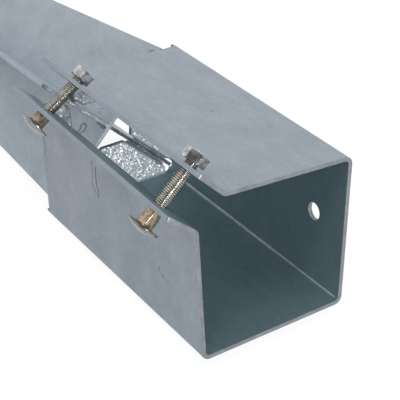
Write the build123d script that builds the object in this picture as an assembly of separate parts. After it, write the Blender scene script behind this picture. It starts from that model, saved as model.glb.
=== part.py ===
from build123d import *
import math
import os

# Sheet steel of the socket and of the spike
SHEET = 2.0
BLADE_SHEET = 2.0

# Socket: one folded sheet, open along the upper left corner
SOCKET_WIDTH = 75.0
SOCKET_DEPTH = 150.0
BEND_RADIUS = 2.0
FLANGE_SETBACK = 10.0
FLANGE_WIDTH = 17.3
FLANGE_CORNER = 2.0

# Folds in degrees, at the rear and at the mouth: the walls have sprung open after folding
FOLD_BOTTOM_LEFT = (89.0, 90.4)
FOLD_BOTTOM_RIGHT = (96.6, 94.1)
FOLD_TOP_RIGHT = (84.0, 90.0)
FOLD_LEFT_FLANGE = (46.5, 48.0)
FOLD_TOP_FLANGE = (49.0, 42.5)

# Stop tabs folded inward at the rear, each ending at its own distance from the spike's axis
BOTTOM_TAB_EDGE = 9.8
RIGHT_TAB_EDGE = 11.6
TOP_TAB_EDGE = 17.4
LEFT_TAB_EDGE = 22.2
TAB_BEND_RADIUS = 0.8
TAB_MITRE_GAP = 1.25
TAB_RELIEF = 1.0

# Nail hole in the right wall
NAIL_HOLE = 8.5
NAIL_HOLE_FROM_MOUTH = 22.0

# Spike: a cross of blades that tapers to a blunt point, welded on a little out of true
SPIKE_LENGTH = 750.0
BLADE_HALF_WIDTH = 48.6
BLADE_TIP = 3.0
BLADE_CLEARANCE = 0.05
CROSS_ANGLE = 45.4
SPIKE_LEAN = 1.5
AXIS_SHIFT_ACROSS = -1.7
AXIS_SHIFT_UP = 1.5

# Welds: beads behind the tabs out to a distance from the spike's axis, and stitches along the cross
TAB_WELD_LEG = 4.0
TAB_WELD_END = 46.0
OPEN_CORNER_WELD_END = 36.0
STITCH_LEG = 3.0
STITCH_LENGTH = 30.0
STITCH_FIRST = 160.0
STITCH_PITCH = 190.0
STITCH_COUNT = 3
WELD_BULGE = 0.6

# Clamping bolts: round head, square neck, hexagon nut
BOLT = 6.0
BOLT_HOLE_CLEARANCE = 0.3
THREAD_CLEARANCE = 0.05
BOLT_FROM_BEND = 9.0
BOLT_FROM_MOUTH = 18.0
BOLT_FROM_REAR = 26.0
HEAD_DIAMETER = 15.0
HEAD_HEIGHT = 2.8
HEAD_RIM = 0.6
NECK_WIDTH = 6.0
NECK_LENGTH = 5.0
NECK_STANDOFF_FRONT = 4.0
NECK_STANDOFF_REAR = 2.1
NUT_ACROSS_FLATS = 10.0
NUT_HEIGHT = 5.0
NUT_STANDOFF = 1.5
NUT_CHAMFER = 30.0
NUT_TURN_FRONT = 40.0
NUT_TURN_REAR = 25.0
BOLT_END = 0.5

OUTER_RADIUS = BEND_RADIUS + SHEET
TAB_OUTER_RADIUS = TAB_BEND_RADIUS + SHEET


def heading(angle):
    """Unit vector in the plane of the section, counted from +Y towards +Z."""
    return Vector(math.cos(math.radians(angle)), math.sin(math.radians(angle)))


def folded_corners(end):
    """Sharp corners of the sheet's outer line at the rear (end 0) or at the mouth (end 1)."""
    left_wall = FOLD_BOTTOM_LEFT[end]
    right_wall = 180 - FOLD_BOTTOM_RIGHT[end]
    top_wall = right_wall + 180 - FOLD_TOP_RIGHT[end]
    free_wall = SOCKET_WIDTH - FLANGE_SETBACK
    bottom_left = Vector(0, 0)
    bottom_right = Vector(SOCKET_WIDTH, 0)
    top_right = bottom_right + heading(right_wall) * SOCKET_WIDTH
    left_bend = bottom_left + heading(left_wall) * free_wall
    top_bend = top_right + heading(top_wall) * free_wall
    left_edge = left_bend + heading(left_wall + FOLD_LEFT_FLANGE[end]) * FLANGE_WIDTH
    top_edge = top_bend + heading(top_wall - FOLD_TOP_FLANGE[end]) * FLANGE_WIDTH
    return [left_edge, left_bend, bottom_left, bottom_right, top_right, top_bend, top_edge]


# Places in the list of corners
LEFT_EDGE, LEFT_BEND, BOTTOM_LEFT, BOTTOM_RIGHT, TOP_RIGHT, TOP_BEND, TOP_EDGE = range(7)


def spike_axis_place():
    """Where the spike's axis meets the rear section: about the middle of its four walls."""
    corners = folded_corners(0)
    top_wall = (corners[TOP_BEND] - corners[TOP_RIGHT]).normalized()
    top_left = corners[TOP_RIGHT] + top_wall * SOCKET_WIDTH
    middle = (corners[BOTTOM_LEFT] + corners[BOTTOM_RIGHT] + corners[TOP_RIGHT] + top_left) / 4
    return middle + Vector(AXIS_SHIFT_ACROSS, AXIS_SHIFT_UP)


def corners_at(x):
    """Corners of the section at a distance x in front of the rear, straight as far as the tabs bend."""
    share = max(0.0, x - OUTER_RADIUS) / (SOCKET_DEPTH - OUTER_RADIUS)
    axis = spike_axis_place()
    ends = zip(folded_corners(0), folded_corners(1))
    return [rear + (mouth - rear) * share - axis for rear, mouth in ends]


def in_section(point, x=0.0):
    """Space point of a point of the section, at a distance x in front of the socket's rear."""
    return Vector(x, point.X, point.Y)


def section_plane(x):
    """Plane of the section with +Y to the right and +Z up."""
    return Plane(origin=(x, 0, 0), x_dir=(0, 1, 0), z_dir=(1, 0, 0))


def socket_section(x):
    """Face of the folded sheet at x, two millimetres thick all round."""
    radii = [BEND_RADIUS, OUTER_RADIUS, OUTER_RADIUS, OUTER_RADIUS, BEND_RADIUS]
    outer_line = FilletPolyline(*corners_at(x), radius=radii)
    sheet_line = offset(outer_line, amount=SHEET, side=Side.LEFT)
    return section_plane(x) * make_face(sheet_line.edges())


def wall_plane(start, end, x=0.0):
    """Plane on the outer face of the wall between two corners: x to the mouth, y along, z inward."""
    corners = corners_at(x)
    along = (corners[end] - corners[start]).normalized()
    inward = in_section(Vector(-along.Y, along.X))
    forward = in_section(along).cross(inward)
    return Plane(origin=in_section(corners[start], x), x_dir=forward, z_dir=inward)


def tab_wedge(turn):
    """Space between two blades, less the gap that the mitred edges keep from them."""
    keep = BLADE_SHEET / 2 + TAB_MITRE_GAP
    quarter = Pos(keep, keep) * Rectangle(SOCKET_WIDTH, SOCKET_WIDTH, align=Align.MIN)
    return extrude(section_plane(0) * (Rot(0, 0, turn) * quarter), TAB_OUTER_RADIUS)


def stop_tab(plane, low, high, turn, edge):
    """Tab bent in from a wall to its edge, with its two sides mitred towards the spike's axis."""
    reach = plane.to_local_coords(Vector(0, 0, 0)).Z - edge
    ring = Pos(TAB_OUTER_RADIUS, TAB_OUTER_RADIUS) * (Circle(TAB_OUTER_RADIUS) - Circle(TAB_BEND_RADIUS))
    bend = ring & Rectangle(TAB_OUTER_RADIUS, TAB_OUTER_RADIUS, align=Align.MIN)
    plate = Pos(0, TAB_OUTER_RADIUS) * Rectangle(SHEET, reach - TAB_OUTER_RADIUS, align=Align.MIN)
    across = Plane(origin=plane.origin, x_dir=plane.x_dir, z_dir=-plane.y_dir)
    blank = extrude(across * (bend + plate), -high) - extrude(across * (bend + plate), -low)
    return blank & tab_wedge(turn)


def wall_notch(plane, low, high):
    """Strip at a wall's rear edge that makes room for the tab's bend."""
    strip = Pos(0, low) * Rectangle(TAB_OUTER_RADIUS, high - low, align=Align.MIN)
    return extrude(plane * strip, SHEET * 2, both=True)


FRONT_BOLT_X = SOCKET_DEPTH - BOLT_FROM_MOUTH
REAR_BOLT_X = BOLT_FROM_REAR


def bolt_places(x):
    """Centres of the bolt holes at x, on the outer faces of the left and the top flange."""
    corners = corners_at(x)
    left_flange = (corners[LEFT_EDGE] - corners[LEFT_BEND]).normalized()
    top_flange = (corners[TOP_EDGE] - corners[TOP_BEND]).normalized()
    left = corners[LEFT_BEND] + left_flange * BOLT_FROM_BEND
    top = corners[TOP_BEND] + top_flange * BOLT_FROM_BEND
    return in_section(left, x), in_section(top, x)


def flange_span(x):
    """Distance from the left flange's outer face to the top flange's along the bolt at x."""
    left, top = bolt_places(x)
    return (top - left).length


def bolt_plane(x):
    """Plane on the left flange's outer face, with z through both flanges to the nut's side."""
    left, top = bolt_places(x)
    return Plane(origin=left, x_dir=(1, 0, 0), z_dir=top - left)


def flange_tips(body):
    """Short edges across the sheet at the outer corners of both flanges."""
    tips = []
    for x in (0.0, SOCKET_DEPTH):
        corners = corners_at(x)
        tips += [in_section(corners[LEFT_EDGE], x), in_section(corners[TOP_EDGE], x)]
    return [edge for edge in body.edges() if min((edge.center() - tip).length for tip in tips) < SHEET]


# Walls by the corners they run between, with the turn and the inner edge of the tab that each has
TABS = [
    (BOTTOM_LEFT, BOTTOM_RIGHT, 180, BOTTOM_TAB_EDGE),
    (BOTTOM_RIGHT, TOP_RIGHT, 270, RIGHT_TAB_EDGE),
    (TOP_RIGHT, TOP_BEND, 0, TOP_TAB_EDGE),
    (LEFT_BEND, BOTTOM_LEFT, 90, LEFT_TAB_EDGE),
]


def socket():
    """Folded socket with its flanges, tabs and holes."""
    rear = extrude(socket_section(0), OUTER_RADIUS)
    body = rear + loft([socket_section(OUTER_RADIUS), socket_section(SOCKET_DEPTH)], ruled=True)
    body = fillet(flange_tips(body), FLANGE_CORNER)
    tabs = []
    for start, end, turn, edge in TABS:
        plane = wall_plane(start, end)
        length = plane.to_local_coords(in_section(corners_at(0)[end])).Y
        low = TAB_RELIEF if start == LEFT_BEND else OUTER_RADIUS
        high = length - (TAB_RELIEF if end == TOP_BEND else OUTER_RADIUS)
        body -= wall_notch(plane, low, high)
        tabs.append(stop_tab(plane, low + TAB_RELIEF, high - TAB_RELIEF, CROSS_ANGLE + turn, edge))
    body = body + tabs
    for x in (REAR_BOLT_X, FRONT_BOLT_X):
        hole = Circle(BOLT / 2 + BOLT_HOLE_CLEARANCE)
        body -= extrude(bolt_plane(x) * hole, flange_span(x) * 1.5, both=True)
    nail_x = SOCKET_DEPTH - NAIL_HOLE_FROM_MOUTH
    nail = wall_plane(BOTTOM_RIGHT, TOP_RIGHT, nail_x) * Pos(0, SOCKET_WIDTH / 2)
    body -= extrude(nail * Circle(NAIL_HOLE / 2), SHEET * 2, both=True)
    return body


# Directions of the spike: its leaning axis, the full blade's width and the half blades' width
FORWARD = Vector(1, 0, 0)
BLADE_ACROSS = in_section(heading(CROSS_ANGLE))
HALF_ACROSS = in_section(heading(CROSS_ANGLE + 90))
SPIKE_AXIS = FORWARD.rotate(Axis((0, 0, 0), HALF_ACROSS), SPIKE_LEAN)
LEAN_ACROSS = BLADE_ACROSS.rotate(Axis((0, 0, 0), HALF_ACROSS), SPIKE_LEAN)


def cross_blade():
    """Blade across the whole spike, cut square at the socket and tapered to the blunt point."""
    tip = -SPIKE_LENGTH * math.tan(math.radians(SPIKE_LEAN))
    outline = Polyline(
        (0, -BLADE_HALF_WIDTH),
        (0, BLADE_HALF_WIDTH),
        (-SPIKE_LENGTH, tip + BLADE_TIP / 2),
        (-SPIKE_LENGTH, tip - BLADE_TIP / 2),
        close=True,
    )
    plane = Plane(origin=(0, 0, 0), x_dir=FORWARD, z_dir=FORWARD.cross(BLADE_ACROSS))
    return extrude(plane * make_face(outline), BLADE_SHEET / 2, both=True)


def half_blade(outward):
    """Blade from a face of the full blade out to the edge of the spike."""
    root = BLADE_SHEET / 2
    outline = Polyline(
        (-BLADE_CLEARANCE, root),
        (-BLADE_CLEARANCE, BLADE_HALF_WIDTH),
        (-SPIKE_LENGTH, root + BLADE_TIP / 2),
        (-SPIKE_LENGTH, root),
        close=True,
    )
    plane = Plane(origin=(0, 0, 0), x_dir=SPIKE_AXIS, z_dir=SPIKE_AXIS.cross(outward))
    return extrude(plane * make_face(outline), BLADE_SHEET / 2, both=True)


def weld_bead(corner, leg, other_leg, run):
    """Bead in the corner between two faces, bulging a little, along the vector run."""
    crown_point = corner + (leg + other_leg) * WELD_BULGE
    outline = [
        Line(corner + leg, corner),
        Line(corner, corner + other_leg),
        ThreePointArc(corner + other_leg, crown_point, corner + leg),
    ]
    return extrude(make_face(outline), run.length, dir=run.normalized())


def tab_welds():
    """Beads between the rear faces of the tabs and the blades on both sides of each tab."""
    on_full_blade = (FORWARD, BLADE_SHEET / 2)
    on_half_blade = (SPIKE_AXIS, BLADE_SHEET / 2 / math.cos(math.radians(SPIKE_LEAN)))
    beads = []
    for start, end, turn, edge in TABS:
        first = in_section(heading(CROSS_ANGLE + turn))
        second = in_section(heading(CROSS_ANGLE + turn + 90))
        inner_end = edge * math.sqrt(2) + TAB_MITRE_GAP
        for outward, sideways in ((first, second), (second, first)):
            along, face = on_full_blade if abs(outward.dot(BLADE_ACROSS)) > 0.5 else on_half_blade
            outer_end = OPEN_CORNER_WELD_END if outward.dot(HALF_ACROSS) > 0.5 else TAB_WELD_END
            corner = outward * inner_end + sideways * face
            run = outward * (outer_end - inner_end)
            beads.append(weld_bead(corner, along * -TAB_WELD_LEG, sideways * TAB_WELD_LEG, run))
    return beads


def stitch_welds():
    """Short beads along the four inner corners of the cross."""
    beads = []
    for one in (LEAN_ACROSS, LEAN_ACROSS * -1):
        for other in (HALF_ACROSS, HALF_ACROSS * -1):
            for count in range(STITCH_COUNT):
                back = SPIKE_AXIS * -(STITCH_FIRST + STITCH_PITCH * count)
                corner = (one + other) * (BLADE_SHEET / 2) + back
                run = SPIKE_AXIS * -STITCH_LENGTH
                beads.append(weld_bead(corner, one * STITCH_LEG, other * STITCH_LEG, run))
    return beads


def carriage_bolt(x, standoff):
    """Round-headed bolt whose square neck stays at a standoff outside the left flange."""
    radius = HEAD_DIAMETER / 2
    rise = HEAD_HEIGHT - HEAD_RIM
    crown = (radius**2 + rise**2) / (2 * rise)
    half = math.asin(radius / crown) / 2
    crown_point = (crown * math.sin(half), -HEAD_HEIGHT + crown * (1 - math.cos(half)))
    outline = [
        Line((0, -HEAD_HEIGHT), (0, 0)),
        Line((0, 0), (radius, 0)),
        Line((radius, 0), (radius, -HEAD_RIM)),
        ThreePointArc((radius, -HEAD_RIM), crown_point, (0, -HEAD_HEIGHT)),
    ]
    head = revolve(Plane.XZ * make_face(outline), Axis.Z)
    neck = extrude(Rectangle(NECK_WIDTH, NECK_WIDTH), NECK_LENGTH)
    shank_length = NECK_LENGTH + standoff + flange_span(x) + NUT_STANDOFF + NUT_HEIGHT + BOLT_END
    shank = Cylinder(BOLT / 2, shank_length, align=(Align.CENTER, Align.CENTER, Align.MIN))
    shank = chamfer(shank.faces().sort_by(Axis.Z)[-1].edges(), BOLT_END)
    body = head + neck + shank
    return bolt_plane(x) * Pos(0, 0, -NECK_LENGTH - standoff) * body


def hexagon_nut(x, turn):
    """Chamfered nut on the bolt's free end, still a little off the top flange."""
    corner_radius = NUT_ACROSS_FLATS / 2 / math.cos(math.radians(30))
    face_radius = NUT_ACROSS_FLATS / 2
    drop = (corner_radius - face_radius) * math.tan(math.radians(NUT_CHAMFER))
    outline = Polyline(
        (0, 0),
        (face_radius, 0),
        (corner_radius, drop),
        (corner_radius, NUT_HEIGHT - drop),
        (face_radius, NUT_HEIGHT),
        (0, NUT_HEIGHT),
        close=True,
    )
    turned = revolve(Plane.XZ * make_face(outline), Axis.Z)
    hexagon = extrude(RegularPolygon(corner_radius, 6), NUT_HEIGHT)
    bore = extrude(Circle(BOLT / 2 + THREAD_CLEARANCE), NUT_HEIGHT)
    place = bolt_plane(x) * Pos(0, 0, flange_span(x) + NUT_STANDOFF) * Rot(0, 0, turn)
    return place * ((turned & hexagon) - bore)


def resting_slope():
    """Slope of the ground under the spike's tip and the rear bend of the socket's bottom wall."""
    lean_drop = SPIKE_LENGTH * math.tan(math.radians(SPIKE_LEAN)) * BLADE_ACROSS.Z
    tip_drop = BLADE_TIP / 2 * BLADE_ACROSS.Z + BLADE_SHEET / 2 * abs(HALF_ACROSS.Z) + lean_drop
    along = SPIKE_LENGTH + OUTER_RADIUS
    down = spike_axis_place().Y - OUTER_RADIUS - tip_drop
    distance = math.hypot(along, down)
    return math.degrees(math.atan2(down, along) + math.asin(OUTER_RADIUS / distance))


def lay_down(pieces):
    """Pieces turned to lie as they come to rest, with the origin under the middle of them all."""
    laid = {name: Rot(0, -resting_slope(), 0) * shape for name, shape in pieces.items()}
    box = Compound(list(laid.values())).bounding_box()
    middle = box.center()
    place = Pos(-middle.X, -middle.Y, -box.min.Z)
    return {name: place * shape for name, shape in laid.items()}


def post_spike():
    """All pieces by name, in their resting place."""
    pieces = {
        "socket": socket(),
        "cross_blade": cross_blade(),
        "near_half_blade": half_blade(HALF_ACROSS),
        "far_half_blade": half_blade(HALF_ACROSS * -1),
        "tab_welds": Compound(tab_welds()),
        "stitch_welds": Compound(stitch_welds()),
        "front_bolt": carriage_bolt(FRONT_BOLT_X, NECK_STANDOFF_FRONT),
        "rear_bolt": carriage_bolt(REAR_BOLT_X, NECK_STANDOFF_REAR),
        "front_nut": hexagon_nut(FRONT_BOLT_X, NUT_TURN_FRONT),
        "rear_nut": hexagon_nut(REAR_BOLT_X, NUT_TURN_REAR),
    }
    return lay_down(pieces)


os.makedirs("parts", exist_ok=True)
for node, shape in post_spike().items():
    export_step(shape, f"parts/{node}.step")
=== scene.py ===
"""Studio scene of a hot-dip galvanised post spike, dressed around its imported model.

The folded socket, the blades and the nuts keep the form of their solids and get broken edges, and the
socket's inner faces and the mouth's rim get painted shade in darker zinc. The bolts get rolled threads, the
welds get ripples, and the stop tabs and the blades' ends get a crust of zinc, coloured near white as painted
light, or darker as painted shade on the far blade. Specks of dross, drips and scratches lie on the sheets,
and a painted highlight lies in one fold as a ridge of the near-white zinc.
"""
from __future__ import annotations

import logging
import math
from dataclasses import dataclass
from enum import Enum
from typing import Any, Iterable

import bmesh
import bpy
import numpy as np
from mathutils import Matrix, Vector, noise


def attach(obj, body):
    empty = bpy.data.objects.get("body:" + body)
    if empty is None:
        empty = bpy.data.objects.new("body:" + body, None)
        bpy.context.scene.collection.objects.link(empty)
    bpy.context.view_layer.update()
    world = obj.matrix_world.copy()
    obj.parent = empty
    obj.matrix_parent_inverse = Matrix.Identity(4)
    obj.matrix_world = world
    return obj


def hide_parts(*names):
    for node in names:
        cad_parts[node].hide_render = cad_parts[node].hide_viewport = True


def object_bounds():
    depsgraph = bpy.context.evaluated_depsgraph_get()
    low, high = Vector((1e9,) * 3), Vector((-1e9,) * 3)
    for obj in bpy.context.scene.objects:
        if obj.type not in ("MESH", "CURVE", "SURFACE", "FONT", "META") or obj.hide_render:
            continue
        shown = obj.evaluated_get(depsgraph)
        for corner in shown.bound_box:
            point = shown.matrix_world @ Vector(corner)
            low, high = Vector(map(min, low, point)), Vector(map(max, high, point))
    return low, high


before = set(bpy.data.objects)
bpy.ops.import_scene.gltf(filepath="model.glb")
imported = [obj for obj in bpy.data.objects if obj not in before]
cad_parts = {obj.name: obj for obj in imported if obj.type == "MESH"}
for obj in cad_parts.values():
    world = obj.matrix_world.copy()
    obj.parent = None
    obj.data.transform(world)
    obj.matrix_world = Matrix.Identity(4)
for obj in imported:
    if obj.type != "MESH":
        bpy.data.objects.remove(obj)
CAD_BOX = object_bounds()

LOG = logging.getLogger("post_spike")
MM = 0.001
GALVANISED_SLOT = "galvanised_steel"
PLATED_SLOT = "zinc_plated_steel"

# Meshes of the solids: corners closer than this are one, and faces within this angle are one flat
MERGE_M = 2e-6
FLAT_DEGREES = 0.6

# Sheets and nuts: which edges are broken and how, and how steep an edge still looks rounded
BROKEN_DEGREES = 35.0
BEVEL_SEGMENTS = 2
BEVEL_PROFILE = 0.6
LARGE_FACE_WEIGHT = 80
ROUNDED_DEGREES = 32.0
ALL_ROUNDED_DEGREES = 180.0

# Inputs of the geometry nodes that are not plain numbers
SOCKET_KINDS = {"Seed": "NodeSocketInt", "Material": "NodeSocketMaterial"}

Place = tuple[float, float, float]


class End(Enum):
    """Ends of the open corner, each with its own clamping bolt and nut."""

    FRONT = "front"
    REAR = "rear"


def linear(code: str) -> tuple[float, float, float, float]:
    """Turns an sRGB hex colour into linear light.

    Args:
        code: colour such as "#A3AEB7".

    Returns:
        Red, green, blue and an alpha of 1.
    """
    values = [int(code[place : place + 2], 16) / 255 for place in (1, 3, 5)]
    light = [v / 12.92 if v <= 0.04045 else ((v + 0.055) / 1.055) ** 2.4 for v in values]
    return (light[0], light[1], light[2], 1.0)


def add_node(
    tree: bpy.types.NodeTree, kind: str, inputs: dict[Any, Any] | None = None, **settings: Any
) -> Any:
    """Adds a node with its settings, values and links.

    Args:
        tree: node tree of a material, the world or a geometry modifier.
        kind: the node's type, such as "ShaderNodeTexNoise".
        inputs: input name or number to a value, or to an output socket that is linked to it.
        **settings: properties of the node itself.

    Returns:
        The new node.
    """
    node = tree.nodes.new(kind)
    for name, value in settings.items():
        setattr(node, name, value)
    for name, value in (inputs or {}).items():
        if isinstance(value, bpy.types.NodeSocket):
            tree.links.new(value, node.inputs[name])
        else:
            node.inputs[name].default_value = value
    return node


def ramp(tree: bpy.types.NodeTree, factor: Any, stops: Iterable[tuple[float, Any]]) -> Any:
    """Adds a colour ramp.

    Args:
        tree: the material's node tree.
        factor: output socket that runs along the ramp.
        stops: places from 0 to 1, each with a linear colour.

    Returns:
        The ramp's colour output.
    """
    node = add_node(tree, "ShaderNodeValToRGB", {"Fac": factor})
    elements = node.color_ramp.elements
    places = list(stops)
    while len(elements) < len(places):
        elements.new(0.5)
    for element, (place, colour) in zip(elements, places):
        element.position = place
        element.color = colour
    return node.outputs["Color"]


def grey(value: float) -> tuple[float, float, float, float]:
    """Neutral linear colour of one value."""
    return (value, value, value, 1.0)


def new_material(name: str) -> tuple[bpy.types.Material, bpy.types.NodeTree]:
    """Makes an empty node material and returns it with its tree."""
    material = bpy.data.materials.new(name)
    material.use_nodes = True
    material.node_tree.nodes.clear()
    return material, material.node_tree


@dataclass(frozen=True)
class GalvanisedSteel:
    """Hot-dip galvanised steel: a bluish zinc skin, faintly clouded where it froze unevenly."""

    name: str = "hot_dip_galvanised_steel"
    pale: str = "#A7B2BC"
    mid: str = "#A0ABB5"
    dark: str = "#9AA5AF"
    stain: str = "#5C666D"
    cloud_mm: float = 17.0
    spangle_mm: float = 2.2
    streak_mm: float = 5.0
    streak_stretch: Place = (0.35, 1.0, 0.16)
    tone_low: float = 0.38
    tone_high: float = 0.62
    speck_mm: float = 9.0
    speck_core: float = 0.03
    speck_rim: float = 0.07
    speck_strength: float = 0.8
    speck_rarity: float = 0.88
    grain_mm: float = 0.8
    metallic: float = 0.45
    roughness: float = 0.44
    duller_by: float = 0.07
    brighter_by: float = 0.05
    grain_height_mm: float = 0.03
    cloud_height_mm: float = 0.18

    def build(self) -> bpy.types.Material:
        """Builds the material.

        Returns:
            The galvanised steel with clouds, spangle, streaks and a few dark specks.
        """
        material, tree = new_material(self.name)
        place = add_node(tree, "ShaderNodeTexCoord").outputs["Object"]
        scaled = add_node(
            tree, "ShaderNodeVectorMath", {0: place, 1: (1 / MM, 1 / MM, 1 / MM)}, operation="MULTIPLY"
        )
        mm = scaled.outputs["Vector"]
        clouds = self._noise(tree, mm, self.cloud_mm, detail=5.0)
        spangle = self._noise(tree, mm, self.spangle_mm, rough=0.55)
        drawn = add_node(tree, "ShaderNodeMapping", {"Vector": mm, "Scale": self.streak_stretch})
        streaks = self._noise(tree, drawn.outputs["Vector"], self.streak_mm)
        tone = self._mean(tree, clouds, spangle, streaks)
        stops = [
            (self.tone_low, linear(self.dark)),
            (0.5, linear(self.mid)),
            (self.tone_high, linear(self.pale)),
        ]
        colour = ramp(tree, tone, stops)
        speck = self._specks(tree, mm)
        mixed = add_node(
            tree, "ShaderNodeMix", {"Factor": speck, 6: colour, 7: linear(self.stain)}, data_type="RGBA"
        )
        rough = add_node(
            tree,
            "ShaderNodeMapRange",
            {
                "Value": tone,
                "From Min": self.tone_low,
                "From Max": self.tone_high,
                "To Min": self.roughness + self.duller_by,
                "To Max": self.roughness - self.brighter_by,
            },
        )
        grain = self._noise(tree, mm, self.grain_mm)
        bump = add_node(
            tree, "ShaderNodeBump", {"Height": grain, "Strength": 1.0, "Distance": self.grain_height_mm * MM}
        )
        swell = add_node(
            tree,
            "ShaderNodeBump",
            {
                "Height": clouds,
                "Strength": 1.0,
                "Distance": self.cloud_height_mm * MM,
                "Normal": bump.outputs["Normal"],
            },
        )
        shader = add_node(
            tree,
            "ShaderNodeBsdfPrincipled",
            {
                "Base Color": mixed.outputs[2],
                "Metallic": self.metallic,
                "Roughness": rough.outputs[0],
                "Normal": swell.outputs["Normal"],
            },
        )
        add_node(tree, "ShaderNodeOutputMaterial", {"Surface": shader.outputs[0]})
        return material

    def _specks(self, tree: bpy.types.NodeTree, mm: Any) -> Any:
        """Adds a few dark specks, one in about eight cells, and returns their mask."""
        cells = add_node(
            tree, "ShaderNodeTexVoronoi", {"Vector": mm, "Scale": 1 / self.speck_mm}, feature="F1"
        )
        near = add_node(
            tree,
            "ShaderNodeMapRange",
            {
                "Value": cells.outputs["Distance"],
                "From Min": self.speck_core,
                "From Max": self.speck_rim,
                "To Min": self.speck_strength,
                "To Max": 0.0,
            },
        )
        rare = add_node(tree, "ShaderNodeSeparateColor", {"Color": cells.outputs["Color"]})
        chosen = add_node(
            tree, "ShaderNodeMath", {0: rare.outputs["Red"], 1: self.speck_rarity}, operation="GREATER_THAN"
        )
        return add_node(
            tree, "ShaderNodeMath", {0: near.outputs[0], 1: chosen.outputs[0]}, operation="MULTIPLY"
        ).outputs[0]

    @staticmethod
    def _mean(tree: bpy.types.NodeTree, *values: Any) -> Any:
        """Adds the mean of some factors and returns it."""
        total = values[0]
        for value in values[1:]:
            total = add_node(tree, "ShaderNodeMath", {0: total, 1: value}, operation="ADD").outputs[0]
        mean = add_node(tree, "ShaderNodeMath", {0: total, 1: 1 / len(values)}, operation="MULTIPLY")
        return mean.outputs[0]

    @staticmethod
    def _noise(
        tree: bpy.types.NodeTree, place: Any, size_mm: float, detail: float = 4.0, rough: float = 0.6
    ) -> Any:
        """Adds a noise whose features are size_mm across and returns its factor."""
        node = add_node(
            tree,
            "ShaderNodeTexNoise",
            {"Vector": place, "Scale": 1 / size_mm, "Detail": detail, "Roughness": rough},
        )
        return node.outputs["Fac"]


@dataclass(frozen=True)
class ZincPlatedSteel:
    """Electroplated fastener: bright zinc with a passivated tinge and a rolled, slightly uneven skin."""

    name: str = "zinc_plated_steel"
    colour: str = "#CFCCC0"
    tinge: str = "#A39D8E"
    patch_mm: float = 4.0
    roughness: float = 0.24
    metallic: float = 0.75
    tone_low: float = 0.4
    tone_high: float = 0.6
    detail: float = 3.0
    grain_mm: float = 0.4
    grain_height_mm: float = 0.012

    def build(self) -> bpy.types.Material:
        """Builds the material.

        Returns:
            The plated steel, patchy between its colour and its tinge.
        """
        material, tree = new_material(self.name)
        place = add_node(tree, "ShaderNodeTexCoord").outputs["Object"]
        patches, grain = (
            add_node(
                tree, "ShaderNodeTexNoise", {"Vector": place, "Scale": 1 / (size * MM), "Detail": self.detail}
            )
            for size in (self.patch_mm, self.grain_mm)
        )
        stops = [(self.tone_low, linear(self.tinge)), (self.tone_high, linear(self.colour))]
        colour = ramp(tree, patches.outputs["Fac"], stops)
        bump = add_node(
            tree,
            "ShaderNodeBump",
            {"Height": grain.outputs["Fac"], "Strength": 1.0, "Distance": self.grain_height_mm * MM},
        )
        shader = add_node(
            tree,
            "ShaderNodeBsdfPrincipled",
            {
                "Base Color": colour,
                "Metallic": self.metallic,
                "Roughness": self.roughness,
                "Normal": bump.outputs["Normal"],
            },
        )
        add_node(tree, "ShaderNodeOutputMaterial", {"Surface": shader.outputs[0]})
        return material


def solid_mesh(node: str) -> bmesh.types.BMesh:
    """Copies a node's mesh with its loose triangles merged and its flat faces whole.

    Args:
        node: name of a CAD node.

    Returns:
        A bmesh in the row frame, in metres.
    """
    copy = bmesh.new()
    copy.from_mesh(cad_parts[node].data)
    bmesh.ops.remove_doubles(copy, verts=copy.verts, dist=MERGE_M)
    limit = math.radians(FLAT_DEGREES)
    bmesh.ops.dissolve_limit(copy, angle_limit=limit, verts=copy.verts, edges=copy.edges)
    return copy


def finish_mesh(
    shape: bmesh.types.BMesh, name: str, material: bpy.types.Material, smooth: float
) -> bpy.types.Object:
    """Turns a bmesh into an object at the origin.

    Args:
        shape: the bmesh, which is freed.
        name: the piece's name.
        material: its finish.
        smooth: edges that turn by more than this many degrees stay sharp.

    Returns:
        The object, linked to the scene.
    """
    mesh = bpy.data.meshes.new(name)
    shape.to_mesh(mesh)
    shape.free()
    mesh.polygons.foreach_set("use_smooth", [True] * len(mesh.polygons))
    mesh.set_sharp_from_angle(angle=math.radians(smooth))
    mesh.materials.append(material)
    return new_object(name, mesh)


def new_object(name: str, data: bpy.types.ID) -> bpy.types.Object:
    """Makes an object at the origin from its data and links it to the scene."""
    made = bpy.data.objects.new(name, data)
    bpy.context.scene.collection.objects.link(made)
    return made


def plain_mesh(piece: bpy.types.Object) -> None:
    """Replaces a piece's mesh with its evaluated one and removes its modifiers."""
    graph = bpy.context.evaluated_depsgraph_get()
    mesh = bpy.data.meshes.new_from_object(piece.evaluated_get(graph), depsgraph=graph)
    piece.modifiers.clear()
    piece.data = mesh


def geometry_tree(name: str, *inputs: str) -> tuple[bpy.types.NodeTree, Any]:
    """Starts a geometry node tree.

    Args:
        name: the tree's name.
        *inputs: name of each input after the geometry.

    Returns:
        The tree and its group input node.
    """
    tree = bpy.data.node_groups.new(name, "GeometryNodeTree")
    tree.interface.new_socket("Geometry", in_out="INPUT", socket_type="NodeSocketGeometry")
    for label in inputs:
        kind = SOCKET_KINDS.get(label, "NodeSocketFloat")
        tree.interface.new_socket(label, in_out="INPUT", socket_type=kind)
    tree.interface.new_socket("Geometry", in_out="OUTPUT", socket_type="NodeSocketGeometry")
    return tree, add_node(tree, "NodeGroupInput")


def close_tree(tree: bpy.types.NodeTree, geometry: Any, material: Any) -> None:
    """Ends a geometry node tree by realising its instances and setting the material."""
    real = add_node(tree, "GeometryNodeRealizeInstances", {"Geometry": geometry})
    painted = add_node(tree, "GeometryNodeSetMaterial", {"Geometry": real.outputs[0], "Material": material})
    add_node(tree, "NodeGroupOutput", {"Geometry": painted.outputs[0]})


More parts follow.
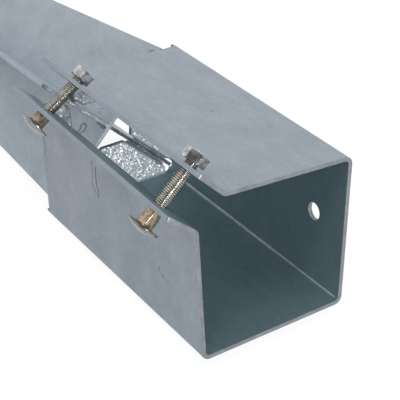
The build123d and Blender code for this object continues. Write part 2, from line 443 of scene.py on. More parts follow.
def close_with_drops(
    tree: bpy.types.NodeTree,
    start: Any,
    points: Any,
    rotation: Any,
    size: Any,
    sizes: tuple[float, float],
    flatness: float,
) -> bpy.types.NodeTree:
    """Ends a geometry node tree by setting flattened drops of uneven size on points.

    Args:
        tree: the tree.
        start: its group input, with a seed and a material.
        points: socket of the points or of the curve that carries the drops.
        rotation: socket of the turn that brings a drop's axis to its place.
        size: socket of the largest drop's radius.
        sizes: smallest and largest share of that radius.
        flatness: a drop's height as a share of its width.

    Returns:
        The tree.
    """
    share = add_node(tree, "FunctionNodeRandomValue", {"Seed": start.outputs["Seed"]}, data_type="FLOAT")
    share.inputs[2].default_value, share.inputs[3].default_value = sizes
    width = add_node(tree, "ShaderNodeMath", {0: share.outputs[1], 1: size}, operation="MULTIPLY")
    height = add_node(tree, "ShaderNodeMath", {0: width.outputs[0], 1: flatness}, operation="MULTIPLY")
    scale = add_node(
        tree,
        "ShaderNodeCombineXYZ",
        {"X": width.outputs[0], "Y": width.outputs[0], "Z": height.outputs[0]},
    )
    drop = add_node(tree, "GeometryNodeMeshIcoSphere", {"Radius": 1.0, "Subdivisions": 2})
    rounded = add_node(tree, "GeometryNodeSetShadeSmooth", {"Geometry": drop.outputs["Mesh"]})
    drops = add_node(
        tree,
        "GeometryNodeInstanceOnPoints",
        {"Points": points, "Instance": rounded.outputs[0], "Rotation": rotation, "Scale": scale.outputs[0]},
    )
    close_tree(tree, drops.outputs[0], start.outputs["Material"])
    return tree


def run_tree(piece: bpy.types.Object, tree: bpy.types.NodeTree, values: dict[str, Any]) -> None:
    """Runs a geometry node tree on a piece and keeps the mesh that comes out.

    Args:
        piece: the object whose mesh goes in.
        tree: the tree.
        values: name of each of the tree's inputs, with its value.
    """
    modifier = piece.modifiers.new(tree.name, "NODES")
    modifier.node_group = tree
    for item in tree.interface.items_tree:
        if item.in_out == "INPUT" and item.name in values:
            modifier[item.identifier] = values[item.name]
    plain_mesh(piece)


def hand_over(piece: bpy.types.Object, slot: str, *nodes: str) -> None:
    """Makes a piece ride on the root and stand for CAD nodes."""
    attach(piece, "root")
    if nodes:
        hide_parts(*nodes)
    LOG.info("%s: %d faces", piece.name, len(piece.data.polygons))


def broken_edges(
    node: str, name: str, material: bpy.types.Material, width_mm: float, slot: str = GALVANISED_SLOT
) -> bpy.types.Object:
    """Dresses a CAD node with its sharp edges broken, as shearing and zinc leave them.

    Args:
        node: the CAD node that the piece stands for.
        name: the new piece's name.
        material: its finish.
        width_mm: width of the broken edge.
        slot: the material slot; it is not used.

    Returns:
        The new piece.
    """
    shape = solid_mesh(node)
    limit = math.radians(BROKEN_DEGREES)
    sharp = [edge for edge in shape.edges if edge.is_manifold and edge.calc_face_angle() > limit]
    bmesh.ops.bevel(
        shape,
        geom=sharp,
        offset=width_mm * MM,
        segments=BEVEL_SEGMENTS,
        profile=BEVEL_PROFILE,
        affect="EDGES",
        clamp_overlap=True,
    )
    bmesh.ops.triangulate(shape, faces=[face for face in shape.faces if len(face.verts) > 4])
    piece = finish_mesh(shape, name, material, ROUNDED_DEGREES)
    weighted = piece.modifiers.new("weighted_normals", "WEIGHTED_NORMAL")
    weighted.keep_sharp = True
    weighted.weight = LARGE_FACE_WEIGHT
    plain_mesh(piece)
    hand_over(piece, slot, node)
    return piece


def points_of(node: str) -> list[np.ndarray]:
    """Splits a CAD node into its separate solids.

    Args:
        node: name of a CAD node.

    Returns:
        The corner points of each solid, in metres.
    """
    shape = bmesh.new()
    shape.from_mesh(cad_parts[node].data)
    bmesh.ops.remove_doubles(shape, verts=shape.verts, dist=MERGE_M)
    left = set(shape.verts)
    solids = []
    while left:
        stack = [left.pop()]
        found = []
        while stack:
            vert = stack.pop()
            found.append(tuple(vert.co))
            for edge in vert.link_edges:
                other = edge.other_vert(vert)
                if other in left:
                    left.remove(other)
                    stack.append(other)
        solids.append(np.array(found))
    shape.free()
    return solids


def long_axis(points: np.ndarray) -> tuple[Vector, Vector]:
    """Finds the mean of some points and the direction in which they spread most."""
    middle = points.mean(axis=0)
    spread = np.linalg.svd(points - middle, full_matrices=False)[2][0]
    return Vector(middle), Vector(spread)


@dataclass
class FoldedSocket:
    """The socket: one folded sheet with its clamping flanges and stop tabs."""

    finish: bpy.types.Material
    shaded_inner_finish: bpy.types.Material
    shaded_rim_finish: bpy.types.Material
    edge_mm: float = 0.3
    mouth_from_mm: float = 400.0
    side_tilt: float = 0.5
    front_tilt: float = 0.6

    def build(self) -> None:
        """Dresses the folded sheet, with painted shade on its inner faces and on the mouth's cut edges in
        darker zincs.
        """
        mesh = broken_edges("socket", "folded_sheet", self.finish, self.edge_mm).data
        mesh.materials.append(self.shaded_inner_finish)
        mesh.materials.append(self.shaded_rim_finish)
        middle = sum((polygon.center * polygon.area for polygon in mesh.polygons), Vector())
        middle /= sum(polygon.area for polygon in mesh.polygons)
        for polygon in mesh.polygons:
            inward = middle - polygon.center
            inward.x = 0.0
            # the inner faces get painted shade: a darker, teal copy of the zinc
            if abs(polygon.normal.x) < self.side_tilt and polygon.normal.dot(inward) > 0:
                polygon.material_index = 1
            # the mouth's rim, which faces the front, gets painted shade: a darker zinc
            elif polygon.normal.x > self.front_tilt and polygon.center.x > self.mouth_from_mm * MM:
                polygon.material_index = 2


@dataclass
class BladeCross:
    """The spike: a full blade and two half blades."""

    finish: bpy.types.Material
    edge_mm: float = 0.3
    blades: tuple[str, ...] = ("cross_blade", "near_half_blade", "far_half_blade")

    def build(self) -> None:
        """Dresses each blade."""
        for node in self.blades:
            broken_edges(node, f"{node}_sheet", self.finish, self.edge_mm)


@dataclass
class ZincCrust:
    """Rough zinc that froze on the cut and welded ends: a rippled skin on each of them."""

    finish: bpy.types.Material
    node: str
    name: str
    cell_mm: float = 0.36
    height_mm: float = 1.35
    ripple_mm: float = 1.45
    shoulder_mm: float = 0.9
    sunk_mm: float = 0.03
    seed: float = 3.7
    finer: float = 2.3
    coarser: float = 0.22
    patch_mean: float = 0.65
    patch_swing: float = 0.7
    trough: float = 0.25
    facing: float = 0.95
    least_area_mm2: float = 40.0

    def build(self) -> None:
        """Builds a rippled grid over each flat face that looks at the mouth from the socket's rear."""
        source = solid_mesh(self.node)
        reach = [vert.co.x for vert in source.verts]
        limit = 0.5 * (min(reach) + max(reach)) if self.node == "socket" else max(reach)
        shape = bmesh.new()
        for face in source.faces:
            behind = face.calc_center_median().x < limit + MM
            if face.normal.x > self.facing and behind and face.calc_area() > self.least_area_mm2 * MM**2:
                self._cover(shape, face)
        source.free()
        piece = finish_mesh(shape, self.name, self.finish, ALL_ROUNDED_DEGREES)
        hand_over(piece, GALVANISED_SLOT)

    def _cover(self, shape: bmesh.types.BMesh, face: bmesh.types.BMFace) -> None:
        """Adds the rippled grid of one face to a shape."""
        up = face.normal.copy()
        along = max(face.edges, key=lambda edge: edge.calc_length())
        right = (along.verts[1].co - along.verts[0].co).normalized()
        ahead = up.cross(right)
        origin = face.calc_center_median()
        arms = [vert.co - origin for vert in face.verts]
        flat = np.array([(arm.dot(right), arm.dot(ahead)) for arm in arms])
        low, high = flat.min(axis=0), flat.max(axis=0)
        counts = np.ceil((high - low) / (self.cell_mm * MM)).astype(int) + 1
        across = np.linspace(low[0], high[0], counts[0])
        over = np.linspace(low[1], high[1], counts[1])
        grid = np.array([(a, b) for b in over for a in across])
        depth = depth_inside(grid, flat)
        made: dict[int, bmesh.types.BMVert] = {}
        for number, ((a, b), inside) in enumerate(zip(grid, depth)):
            if inside > 0.1 * self.cell_mm * MM:
                place = origin + float(a) * right + float(b) * ahead
                made[number] = shape.verts.new(place + self._height(place, float(inside)) * up)
        for row in range(counts[1] - 1):
            for column in range(counts[0] - 1):
                first = row * counts[0] + column
                around = (first, first + 1, first + counts[0] + 1, first + counts[0])
                if all(number in made for number in around):
                    shape.faces.new([made[number] for number in around])

    def _height(self, place: Vector, inside: float) -> float:
        """Height of the crust over the sheet at one place: ridged ripples in uneven patches."""
        spot = place / (self.ripple_mm * MM) + Vector((self.seed, 0.0, 0.0))
        ripple = 1 - abs(2 * noise.noise(spot) + 0.5 * noise.noise(self.finer * spot))
        patch = self.patch_mean + self.patch_swing * noise.noise(self.coarser * spot)
        shoulder = min(1.0, inside / (self.shoulder_mm * MM))
        share = self.trough + (1 - self.trough) * ripple
        return (shoulder * patch * self.height_mm * share - self.sunk_mm) * MM


def depth_inside(points: np.ndarray, outline: np.ndarray) -> np.ndarray:
    """Measures how far points lie inside a flat outline.

    Args:
        points: places in the outline's plane, one to a row.
        outline: the outline's corners in order.

    Returns:
        Distance to the outline of each point, negative for those outside.
    """
    nearest = np.full(len(points), np.inf)
    inside = np.zeros(len(points), dtype=bool)
    for start, end in zip(outline, np.roll(outline, -1, axis=0)):
        edge = end - start
        part = np.clip((points - start) @ edge / (edge @ edge), 0, 1)
        nearest = np.minimum(nearest, np.linalg.norm(points - start - part[:, None] * edge, axis=1))
        if abs(edge[1]) > 1e-9:
            crosses = (start[1] > points[:, 1]) != (end[1] > points[:, 1])
            inside ^= crosses & (points[:, 0] < start[0] + (points[:, 1] - start[1]) / edge[1] * edge[0])
    return np.where(inside, nearest, -nearest)


@dataclass
class WeldSeams:
    """Weld beads: overlapping ripples along each seam, drowned in zinc."""

    finish: bpy.types.Material
    node: str
    name: str
    step_mm: float = 1.1
    radius_mm: float = 2.0
    reach: float = 0.88
    sizes: tuple[float, float] = (0.88, 1.08)
    flatness: float = 0.55
    seed: int = 11

    def build(self) -> None:
        """Lays the ripples along the middle line of each bead."""
        mesh = bpy.data.meshes.new(self.name)
        ends = []
        for points in points_of(self.node):
            middle, along = long_axis(points)
            reach = (points - np.array(middle)) @ np.array(along)
            ends += [middle + along * (self.reach * float(end)) for end in (reach.min(), reach.max())]
        mesh.from_pydata(ends, [(n, n + 1) for n in range(0, len(ends), 2)], [])
        piece = new_object(self.name, mesh)
        values = {
            "Step": self.step_mm * MM,
            "Radius": self.radius_mm * MM,
            "Seed": self.seed,
            "Material": self.finish,
        }
        run_tree(piece, self._tree(), values)
        hand_over(piece, GALVANISED_SLOT, self.node)

    def _tree(self) -> bpy.types.NodeTree:
        """Makes the nodes that set flattened drops of metal along lines."""
        tree, start = geometry_tree("weld_ripples", "Step", "Radius", "Seed", "Material")
        lines = add_node(tree, "GeometryNodeMeshToCurve", {"Mesh": start.outputs["Geometry"]})
        spaced = add_node(
            tree,
            "GeometryNodeResampleCurve",
            {"Curve": lines.outputs[0], "Length": start.outputs["Step"]},
            mode="LENGTH",
        )
        tangent = add_node(tree, "GeometryNodeInputTangent")
        turned = add_node(
            tree, "FunctionNodeAlignRotationToVector", {"Vector": tangent.outputs[0]}, axis="Z"
        )
        size = start.outputs["Radius"]
        return close_with_drops(
            tree, start, spaced.outputs[0], turned.outputs[0], size, self.sizes, self.flatness
        )


@dataclass
class ZincDross:
    """Tiny drops and specks of dross that froze on the sheets."""

    finish: bpy.types.Material
    density: float = 1500.0
    size_mm: float = 0.34
    sizes: tuple[float, float] = (0.35, 1.0)
    flatness: float = 0.4
    seed: int = 5
    margin_mm: float = 0.6
    nodes: tuple[str, ...] = ("socket", "cross_blade", "near_half_blade")

    def build(self) -> None:
        """Scatters the specks over the faces that stay well inside the model's box."""
        shape = bmesh.new()
        for node in self.nodes:
            shape.from_mesh(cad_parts[node].data)
        low, high = (Vector(corner) for corner in CAD_BOX)
        room = self.margin_mm * MM
        doomed = [
            face
            for face in shape.faces
            if any(
                vert.co[axis] < low[axis] + room or vert.co[axis] > high[axis] - room
                for vert in face.verts
                for axis in range(3)
            )
        ]
        bmesh.ops.delete(shape, geom=doomed, context="FACES")
        piece = finish_mesh(shape, "zinc_dross", self.finish, ALL_ROUNDED_DEGREES)
        values = {
            "Density": self.density,
            "Size": self.size_mm * MM,
            "Seed": self.seed,
            "Material": self.finish,
        }
        run_tree(piece, self._tree(), values)
        hand_over(piece, GALVANISED_SLOT)

    def _tree(self) -> bpy.types.NodeTree:
        """Makes the nodes that scatter flat drops over a surface."""
        tree, start = geometry_tree("dross_specks", "Density", "Size", "Seed", "Material")
        spots = add_node(
            tree,
            "GeometryNodeDistributePointsOnFaces",
            {
                "Mesh": start.outputs["Geometry"],
                "Density": start.outputs["Density"],
                "Seed": start.outputs["Seed"],
            },
        )
        points, turned, size = spots.outputs["Points"], spots.outputs["Rotation"], start.outputs["Size"]
        return close_with_drops(tree, start, points, turned, size, self.sizes, self.flatness)


@dataclass(frozen=True)
class Trail:
    """One thin trail of zinc: where it runs, in mm, the side it lies on and the width of its drops."""

    points_mm: tuple[Place, ...]
    side: Place
    width_mm: float


# directions in which the sheets face
LEFT_WALL = (-0.01, -1.0, 0.01)
UPPER_BLADE_FACE = (-0.02, -0.71, 0.7)
FOLD_FACE = (0.0, -0.71, 0.71)

TRAILS = (
    # the drip down the left wall: two fine edges that meet in a rounded foot
    Trail(
        (
            (356.9, -31.5, 60.4),
            (356.4, -31.5, 54.0),
            (355.6, -31.6, 47.4),
            (357.6, -31.6, 44.6),
            (361.4, -31.7, 43.3),
            (361.9, -31.7, 45.6),
            (359.8, -31.7, 49.0),
            (359.9, -31.6, 54.0),
            (360.1, -31.6, 58.4),
        ),
        LEFT_WALL,
        0.5,
    ),
    Trail(((357.9, -31.6, 40.1), (359.0, -31.7, 36.2), (361.0, -31.7, 30.9)), LEFT_WALL, 0.26),
    # scratches lower on the same wall
    Trail(((302.9, -31.2, 48.1), (304.7, -31.3, 42.7), (302.7, -31.4, 36.4)), LEFT_WALL, 0.32),
    Trail(((334.8, -31.5, 37.4), (336.2, -31.5, 33.6), (336.4, -31.5, 31.9)), LEFT_WALL, 0.3),
    Trail(((416.2, -32.0, 35.6), (416.5, -32.0, 33.2)), LEFT_WALL, 0.5),
    Trail(((418.2, -32.0, 32.6), (419.6, -32.0, 31.6)), LEFT_WALL, 0.42),
    # the loop where zinc dried on the cross blade
    Trail(
        (
            (278.9, 1.7, 33.8),
            (281.0, 2.9, 35.0),
            (283.4, 2.5, 34.6),
            (284.2, 0.9, 33.0),
            (282.6, -1.0, 31.1),
            (281.0, -2.2, 29.9),
            (279.9, -1.3, 30.8),
            (280.3, 0.2, 32.3),
            (278.9, 1.7, 33.8),
        ),
        UPPER_BLADE_FACE,
        0.62,
    ),
    # the lump where the three blades meet, and the small crater above it
    Trail(
        ((289.6, 6.6, 38.9), (291.8, 6.5, 38.8), (294.6, 6.4, 38.7), (296.6, 6.3, 38.6)),
        UPPER_BLADE_FACE,
        1.7,
    ),
    Trail(
        (
            (284.7, 10.6, 42.9),
            (286.8, 11.6, 43.9),
            (288.9, 10.3, 42.6),
            (287.2, 9.0, 41.3),
            (285.1, 9.6, 41.9),
        ),
        UPPER_BLADE_FACE,
        0.4,
    ),
)

# a painted highlight along the fold between the floor and the right wall: a ridge of drops in the near-white
# crust zinc
FOLD_HIGHLIGHT_RIDGE = (
    Trail(((306.0, 41.0, 3.5), (350.0, 40.93, 4.85), (400.0, 40.8, 6.4)), FOLD_FACE, 0.75),
    Trail(((396.0, 40.85, 6.25), (425.0, 40.77, 7.12), (447.5, 40.7, 7.8)), FOLD_FACE, 0.5),
)


@dataclass
class ZincTrails:
    """The drips, scratches and dried loops that the zinc left on the sheets."""

    finish: bpy.types.Material
    name: str
    trails: tuple[Trail, ...]
    step_mm: float = 0.3
    sizes: tuple[float, float] = (0.45, 1.0)
    flatness: float = 0.45
    seed: int = 8

    def build(self) -> None:
        """Lays a row of flattened drops along each trail."""
        shape = bmesh.new()
        side = shape.verts.layers.float_vector.new("side")
        width = shape.verts.layers.float.new("width")
        for trail in self.trails:
            verts = []
            for point in trail.points_mm:
                vert = shape.verts.new(Vector(point) * MM)
                vert[side] = Vector(trail.side)
                vert[width] = trail.width_mm * MM
                verts.append(vert)
            for first, second in zip(verts, verts[1:]):
                shape.edges.new((first, second))
        piece = finish_mesh(shape, self.name, self.finish, ALL_ROUNDED_DEGREES)
        values = {"Step": self.step_mm * MM, "Seed": self.seed, "Material": self.finish}
        run_tree(piece, self._tree(), values)
        hand_over(piece, GALVANISED_SLOT)

    def _tree(self) -> bpy.types.NodeTree:
        """Makes the nodes that follow the trails with drops of uneven size."""
        tree, start = geometry_tree("zinc_trail_drops", "Step", "Seed", "Material")
        lines = add_node(tree, "GeometryNodeMeshToCurve", {"Mesh": start.outputs["Geometry"]})
        points = add_node(
            tree,
            "GeometryNodeCurveToPoints",
            {"Curve": lines.outputs[0], "Length": start.outputs["Step"]},
            mode="LENGTH",
        )
        side = add_node(
            tree, "GeometryNodeInputNamedAttribute", {"Name": "side"}, data_type="FLOAT_VECTOR"
        )
        turned = add_node(
            tree, "FunctionNodeAlignRotationToVector", {"Vector": side.outputs["Attribute"]}, axis="Z"
        )
        width = add_node(tree, "GeometryNodeInputNamedAttribute", {"Name": "width"}, data_type="FLOAT")
        size = width.outputs["Attribute"]
        return close_with_drops(
            tree, start, points.outputs["Points"], turned.outputs[0], size, self.sizes, self.flatness
        )


@dataclass
class ClampingBolt:
    """A round-headed bolt with a square neck and a rolled thread, and its nut."""

    finish: bpy.types.Material
    nut_finish: bpy.types.Material
    head_finish: bpy.types.Material
    neck_finish: bpy.types.Material
    end: End
    shoulder_mm: float
    head_mm: float = 2.8
    rim_mm: float = 0.6
    head_radius_mm: float = 7.5
    neck_mm: float = 5.0
    neck_half_mm: float = 2.95
    core_mm: float = 2.4
    crest_mm: float = 2.97
    pitch_mm: float = 1.0
    ridge_share: float = 0.86
    crest_share: float = 0.2
    thread_end_mm: float = 0.9
    rounded_degrees: float = 40.0
    crown_rings: int = 9
    steps: int = 48
    turn_steps: int = 28
    nut_edge_mm: float = 0.22

    def build(self) -> None:
        """Builds the bolt around the axis of its CAD solid, and the nut with broken edges."""
        end = self.end.value
        node = f"{end}_bolt"
        points = points_of(node)[0]
        middle, axis = long_axis(points)
        nut = Vector(points_of(f"{end}_nut")[0].mean(axis=0))
        if (nut - middle).dot(axis) < 0:
            axis = -axis
        reach = (points - np.array(middle)) @ np.array(axis)
        right = (Vector((1.0, 0.0, 0.0)) - axis.x * axis).normalized()
        turn = Matrix((right, axis.cross(right), axis)).transposed().to_4x4()
        place = Matrix.Translation(middle + axis * float(reach.min())) @ turn
        length = float(reach.max() - reach.min()) / MM
        shape = self._body(length)
        piece = finish_mesh(shape, f"{end}_clamping_bolt", self.finish, self.rounded_degrees)
        start = self.head_mm + self.neck_mm + self.shoulder_mm
        turns = (length - start - self.thread_end_mm) / self.pitch_mm
        values = {
            "Turns": turns,
            "Length": turns * self.pitch_mm * MM,
            "Start": start * MM,
            "Middle radius": 0.5 * (self.core_mm + self.crest_mm) * MM,
            "Ridge height": (self.crest_mm - self.core_mm) * MM,
            "Ridge width": self.ridge_share * self.pitch_mm * MM,
            "Crest width": self.crest_share * self.pitch_mm * MM,
            "Material": self.finish,
        }
        run_tree(piece, self._tree(), values)
        self._paint(piece.data)
        piece.data.transform(place)
        hand_over(piece, PLATED_SLOT, node)
        broken_edges(f"{end}_nut", f"{end}_hexagon_nut", self.nut_finish, self.nut_edge_mm, PLATED_SLOT)

    def _paint(self, mesh: bpy.types.Mesh) -> None:
        """Gives the head and the worn neck with its shoulder their own finishes."""
        mesh.materials.clear()
        for finish in (self.finish, self.head_finish, self.neck_finish):
            mesh.materials.append(finish)
        head = self.head_mm * MM
        neck = head + (self.neck_mm + self.shoulder_mm) * MM
        for face in mesh.polygons:
            face.material_index = 1 if face.center.z < head else 2 if face.center.z < neck else 0

    def _body(self, length: float) -> bmesh.types.BMesh:
        """Makes the head, the neck and the thread's core as one skin of rings.

        Args:
            length: the bolt's whole length in millimetres.

        Returns:
            The skin, upright on the head's crown.
        """
        rise = self.head_mm - self.rim_mm
        crown = (self.head_radius_mm**2 + rise**2) / (2 * rise)
        neck = self.head_mm + self.neck_mm
        thread = neck + self.shoulder_mm
        rings: list[Place] = []  # height, half width and squareness of each ring
        for number in range(self.crown_rings):
            radius = 0.05 + (self.head_radius_mm - 0.1) * number / (self.crown_rings - 1)
            rings.append((crown - math.sqrt(crown**2 - radius**2), radius, 2.0))
        rings += [
            (rise + 0.08, self.head_radius_mm, 2.0),
            (self.head_mm - 0.12, self.head_radius_mm, 2.0),
            (self.head_mm, self.head_radius_mm - 0.15, 2.0),
            (self.head_mm + 0.02, self.neck_half_mm + 1.0, 3.0),
            (self.head_mm + 0.5, self.neck_half_mm + 0.4, 5.0),
            (self.head_mm + 1.4, self.neck_half_mm, 9.0),
            (neck - 0.3, self.neck_half_mm, 9.0),
            (neck + 0.5 * self.shoulder_mm, self.neck_half_mm, 3.5),
            (thread - 0.2, self.neck_half_mm, 2.2),
            (thread + 0.3, self.core_mm, 2.0),
            (length - 0.4, self.core_mm, 2.0),
            (length - 0.01, self.core_mm - 0.35, 2.0),
        ]
        shape = bmesh.new()
        loops = [self._ring(shape, *ring) for ring in rings]
        for low, high in zip(loops, loops[1:]):
            for number in range(self.steps):
                after = (number + 1) % self.steps
                shape.faces.new((low[number], low[after], high[after], high[number]))
        shape.faces.new(list(reversed(loops[0])))
        shape.faces.new(loops[-1])
        return shape

    def _ring(
        self, shape: bmesh.types.BMesh, height: float, half: float, power: float
    ) -> list[bmesh.types.BMVert]:
        """Adds one ring, round at a power of 2 and squarer above it."""
        ring = []
        for number in range(self.steps):
            angle = 2 * math.pi * (number + 0.5) / self.steps
            c, s = math.cos(angle), math.sin(angle)
            size = (abs(c) ** power + abs(s) ** power) ** (-1 / power)
            ring.append(shape.verts.new((half * size * c * MM, half * size * s * MM, height * MM)))
        return ring

    def _tree(self) -> bpy.types.NodeTree:
        """Makes the nodes that wind a thread's ridge around z and join it to the bolt."""
        sizes = ("Turns", "Length", "Start", "Middle radius", "Ridge height", "Ridge width", "Crest width")
        tree, start = geometry_tree("rolled_thread", *sizes, "Material")
        helix = add_node(
            tree,
            "GeometryNodeCurveSpiral",
            {
                "Resolution": self.turn_steps,
                "Rotations": start.outputs["Turns"],
                "Start Radius": start.outputs["Middle radius"],
                "End Radius": start.outputs["Middle radius"],
                "Height": start.outputs["Length"],
            },
        )
        upright = add_node(tree, "GeometryNodeSetCurveNormal", {"Curve": helix.outputs[0]}, mode="Z_UP")
        ridge = add_node(
            tree,
            "GeometryNodeCurvePrimitiveQuadrilateral",
            {
                "Height": start.outputs["Ridge height"],
                "Bottom Width": start.outputs["Ridge width"],
                "Top Width": start.outputs["Crest width"],
                "Offset": 0.0,
            },
            mode="TRAPEZOID",
        )
        outward = add_node(
            tree,
            "GeometryNodeTransform",
            {"Geometry": ridge.outputs[0], "Rotation": (0.0, 0.0, math.radians(-90))},
        )
        wound = add_node(
            tree,
            "GeometryNodeCurveToMesh",
            {"Curve": upright.outputs[0], "Profile Curve": outward.outputs[0], "Fill Caps": True},
        )
        lift = add_node(tree, "ShaderNodeCombineXYZ", {"Z": start.outputs["Start"]})
        placed = add_node(
            tree, "GeometryNodeTransform", {"Geometry": wound.outputs[0], "Translation": lift.outputs[0]}
        )
        joined = add_node(tree, "GeometryNodeJoinGeometry")
        tree.links.new(placed.outputs[0], joined.inputs[0])
        tree.links.new(start.outputs["Geometry"], joined.inputs[0])
        close_tree(tree, joined.outputs[0], start.outputs["Material"])
        return tree


@dataclass(frozen=True)
class Camera:
    """The photograph's camera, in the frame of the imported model."""

    place_mm: Place = (806.99, -247.17, 351.14)
    forward: Place = (-0.72238, 0.43869, -0.53452)
    roll_degrees: float = -2.002
    lens_mm: float = 112.18
    sensor_mm: float = 36.0
    clip_start_m: float = 0.01
    clip_end_m: float = 20.0

    def build(self) -> None:
        """Makes the camera and gives it to the scene."""
        data = bpy.data.cameras.new("camera")
        data.lens = self.lens_mm
        data.sensor_width = self.sensor_mm
        data.clip_start = self.clip_start_m
        data.clip_end = self.clip_end_m
        camera = new_object("camera", data)
        aim = Vector(self.forward).to_track_quat("-Z", "Y").to_matrix().to_4x4()
        roll = Matrix.Rotation(math.radians(self.roll_degrees), 4, "Z")
        camera.matrix_world = Matrix.Translation(Vector(self.place_mm) * MM) @ aim @ roll
        bpy.context.scene.camera = camera


@dataclass(frozen=True)
class Studio:
    """White sweep, white surroundings, soft lamps and one black card."""

    floor_size_m: float = 8.0
    paper_grey: float = 0.22
    paper_glow: float = 0.9
    flag_grey: float = 0.02
    world_strength: float = 0.38
    key_watts: float = 6.0
    slot_watts: float = 1.8
    front_watts: float = 9.5

    def build(self) -> None:
        """Builds the floor, the world and the lamps."""
        self._floor()
        self._world()
        for name, place, target, size, watts in (
            ("overhead_softbox", (-0.2, 0.3, 1.7), (0.2, 0.0, 0.0), 1.8, self.key_watts),
            ("slot_softbox", (0.85, -0.55, 1.35), (0.31, -0.02, 0.05), 0.35, self.slot_watts),
            ("front_softbox", (1.56, -0.16, 0.26), (0.3, 0.0, 0.03), 0.35, self.front_watts),
        ):
            self._lamp(name, place, target, size, watts)
        self._flag((1.35, -0.45, 0.58), (0.35, 0.0, 0.04), size=1.7)
        bpy.context.scene.view_settings.view_transform = "Standard"

    def _floor(self) -> None:
        """Adds the pale floor, seen as white by the camera but for the object's shadow."""
        material, tree = new_material("white_sweep_paper")
        paper = add_node(tree, "ShaderNodeBsdfDiffuse", {"Color": grey(self.paper_grey)})
        glow = add_node(tree, "ShaderNodeEmission", {"Color": grey(1.0), "Strength": self.paper_glow})
        lifted = add_node(tree, "ShaderNodeAddShader", {0: paper.outputs[0], 1: glow.outputs[0]})
        seen = add_node(
            tree,
            "ShaderNodeMixShader",
            {"Fac": self._seen(tree), 1: paper.outputs[0], 2: lifted.outputs[0]},
        )
        add_node(tree, "ShaderNodeOutputMaterial", {"Surface": seen.outputs[0]})
        floor = self._card("studio_floor", self.floor_size_m, material)

    def _flag(self, place: Place, target: Place, size: float) -> None:
        """Adds a black card behind the camera, unseen by it, so that bright metal has contrast."""
        material, tree = new_material("black_flag_cloth")
        cloth = add_node(tree, "ShaderNodeBsdfDiffuse", {"Color": grey(self.flag_grey)})
        add_node(tree, "ShaderNodeOutputMaterial", {"Surface": cloth.outputs[0]})
        flag = self._card("black_flag", size, material)
        flag.matrix_world = self._aimed(place, target)
        flag.visible_camera = False
        flag.visible_shadow = False

    @staticmethod
    def _card(name: str, size: float, material: bpy.types.Material) -> bpy.types.Object:
        """Makes a flat square around the origin and returns it."""
        half = size / 2
        mesh = bpy.data.meshes.new(name)
        corners = [(-half, -half, 0), (half, -half, 0), (half, half, 0), (-half, half, 0)]
        mesh.from_pydata(corners, [], [(0, 1, 2, 3)])
        mesh.materials.append(material)
        return new_object(name, mesh)

    @staticmethod
    def _aimed(place: Place, target: Place) -> Matrix:
        """Returns the placement from which a thing's -z looks at its target."""
        aim = (Vector(target) - Vector(place)).to_track_quat("-Z", "Y").to_matrix().to_4x4()
        return Matrix.Translation(Vector(place)) @ aim

    def _world(self) -> None:
        """Sets white surroundings, full white where the camera or a reflection sees them."""
        world = bpy.data.worlds.new("studio")
        bpy.context.scene.world = world
        world.use_nodes = True
        tree = world.node_tree
        tree.nodes.clear()
        light = add_node(tree, "ShaderNodeBackground", {"Color": grey(1.0), "Strength": self.world_strength})
        white = add_node(tree, "ShaderNodeBackground", {"Color": grey(1.0), "Strength": 1.0})
        seen = add_node(
            tree,
            "ShaderNodeMixShader",
            {"Fac": self._seen(tree), 1: light.outputs[0], 2: white.outputs[0]},
        )
        add_node(tree, "ShaderNodeOutputWorld", {"Surface": seen.outputs[0]})

    @staticmethod
    def _seen(tree: bpy.types.NodeTree) -> Any:
        """Adds a factor of 1 where the camera or a clear reflection looks, and returns it."""
        paths = add_node(tree, "ShaderNodeLightPath")
        either = add_node(
            tree,
            "ShaderNodeMath",
            {0: paths.outputs["Is Camera Ray"], 1: paths.outputs["Is Glossy Ray"]},
            operation="MAXIMUM",
        )
        return add_node(
            tree,
            "ShaderNodeMath",
            {0: either.outputs[0], 1: paths.outputs["Is Transmission Ray"]},
            operation="MAXIMUM",
        ).outputs[0]

    def _lamp(self, name: str, place: Place, target: Place, size: float, watts: float) -> None:
        """Adds one square soft lamp that faces its target."""
        data = bpy.data.lights.new(name, "AREA")
        data.size = size
        data.energy = watts
        new_object(name, data).matrix_world = self._aimed(place, target)


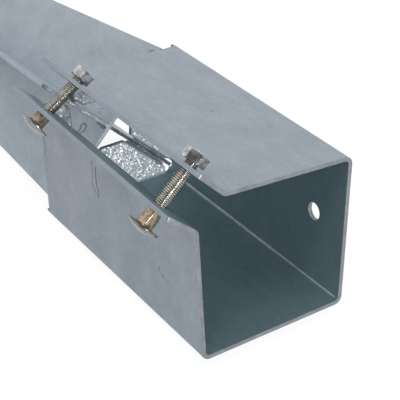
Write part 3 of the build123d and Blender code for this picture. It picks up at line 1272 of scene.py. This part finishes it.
def main() -> None:
    """Builds the studio and each sub-assembly in order."""
    logging.basicConfig(level=logging.INFO)
    galvanised = GalvanisedSteel().build()
    # painted shade: a darker, teal copy of the zinc for the socket's inner faces
    inside = GalvanisedSteel(
        name="shaded_inner_zinc", pale="#91AAB3", mid="#89A2AB", dark="#819AA3", metallic=0.3
    ).build()
    pale = GalvanisedSteel(name="pale_hot_dip_zinc", pale="#BAC5CF", mid="#B3BEC8", dark="#ACB7C1").build()
    # painted shade: a darker zinc for the mouth's rim, which faces the front
    cut = GalvanisedSteel(
        name="shaded_rim_zinc", pale="#959DA4", mid="#898F95", dark="#7A8187", cloud_mm=6.0
    ).build()
    dull = GalvanisedSteel(name="dull_dried_zinc", pale="#868F96", mid="#78828A", dark="#6A747C").build()
    skin = {"metallic": 0.4, "grain_height_mm": 0.06}
    # painted light: the crust's zinc brightened to near white for the light its ripples catch; the rippled
    # crust itself is real
    lit_crust = GalvanisedSteel(
        name="lit_crust_zinc", pale="#ECEFF1", mid="#DDE2E6", dark="#B2BAC0", roughness=0.36, **skin
    ).build()
    # painted shade: a darker copy of the crust's zinc, for the far blade's end
    shaded = GalvanisedSteel(
        name="shaded_crust_zinc", pale="#9BA3A9", mid="#69727A", dark="#454D53", roughness=0.3, **skin
    ).build()
    plated = ZincPlatedSteel().build()
    bright = ZincPlatedSteel(
        "bright_zinc_plated_steel", "#D0D2D4", "#8F8C88", patch_mm=3.0, roughness=0.2
    ).build()
    greyed = ZincPlatedSteel("greyed_zinc_plated_steel", "#92958F", "#70716A", roughness=0.2).build()
    worn = ZincPlatedSteel(
        "worn_zinc_plated_steel", "#BBA994", "#8D7B68", patch_mm=1.6, roughness=0.26
    ).build()
    Camera().build()
    Studio().build()
    FoldedSocket(galvanised, inside, cut).build()
    BladeCross(pale).build()
    # the stop tabs' crust is coloured with the painted-light zinc
    ZincCrust(lit_crust, "socket", "tab_crust").build()
    for finish, node, name, height, ripple in (
        (lit_crust, "near_half_blade", "near_blade_end_crust", 1.0, 0.8),
        (lit_crust, "cross_blade", "cross_blade_end_crust", 0.4, 0.9),
        (shaded, "far_half_blade", "far_blade_end_crust", 0.55, 0.8),
    ):
        ZincCrust(
            finish, node, name, cell_mm=0.25, height_mm=height, ripple_mm=ripple, shoulder_mm=0.35
        ).build()
    WeldSeams(galvanised, "tab_welds", "tab_weld_ripples").build()
    WeldSeams(galvanised, "stitch_welds", "stitch_weld_ripples").build()
    ZincDross(galvanised).build()
    ZincTrails(dull, "zinc_trails", TRAILS).build()
    # painted highlight: a ridge along the fold, in the painted-light crust zinc
    ZincTrails(lit_crust, "fold_highlight_ridge", FOLD_HIGHLIGHT_RIDGE).build()
    ClampingBolt(plated, bright, greyed, worn, End.FRONT, shoulder_mm=4.0).build()
    ClampingBolt(plated, bright, greyed, worn, End.REAR, shoulder_mm=2.1).build()


if __name__ == "__main__":
    main()
